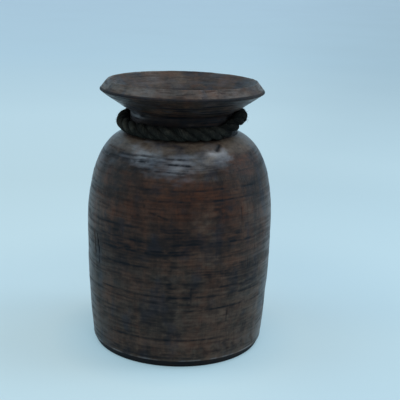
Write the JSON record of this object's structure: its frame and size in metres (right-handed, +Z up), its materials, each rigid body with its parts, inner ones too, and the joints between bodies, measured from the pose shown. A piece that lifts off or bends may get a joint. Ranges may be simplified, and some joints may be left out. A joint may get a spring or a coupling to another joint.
{
  "type": "wooden vase",
  "caption": "Hollow turned wooden vase with a tall rounded body, a short neck, a wide flared rim with a bevelled edge, and a loop of dark rope bound round the neck.",
  "frame": {"origin": "centre of the flat base, on the surface that the vase stands on", "axes": "+Z up along the vase's axis, -Y towards the front that the picture shows, +X to the right of that front"},
  "size_m": [0.1874, 0.1874, 0.269],
  "materials": {
    "dark_wood": "dark brown to black stained wood, waxed to a satin sheen, with fine turned grooves",
    "rope_fibre": "matt, rough, blackened laid natural fibre",
    "binding_twine": "matt waxed dark brown twine"
  },
  "bodies": {
    "vessel": {"vase_body": "dark_wood"},
    "rope_collar": {"neck_rope": "rope_fibre", "rope_seizing": "binding_twine"}
  },
  "joints": [
    {"name": "collar_turn", "type": "hinge", "parent": "vessel", "child": "rope_collar", "pos_m": [0, 0, 0.229], "axis": [0, 0, 1], "continuous": true}
  ]
}
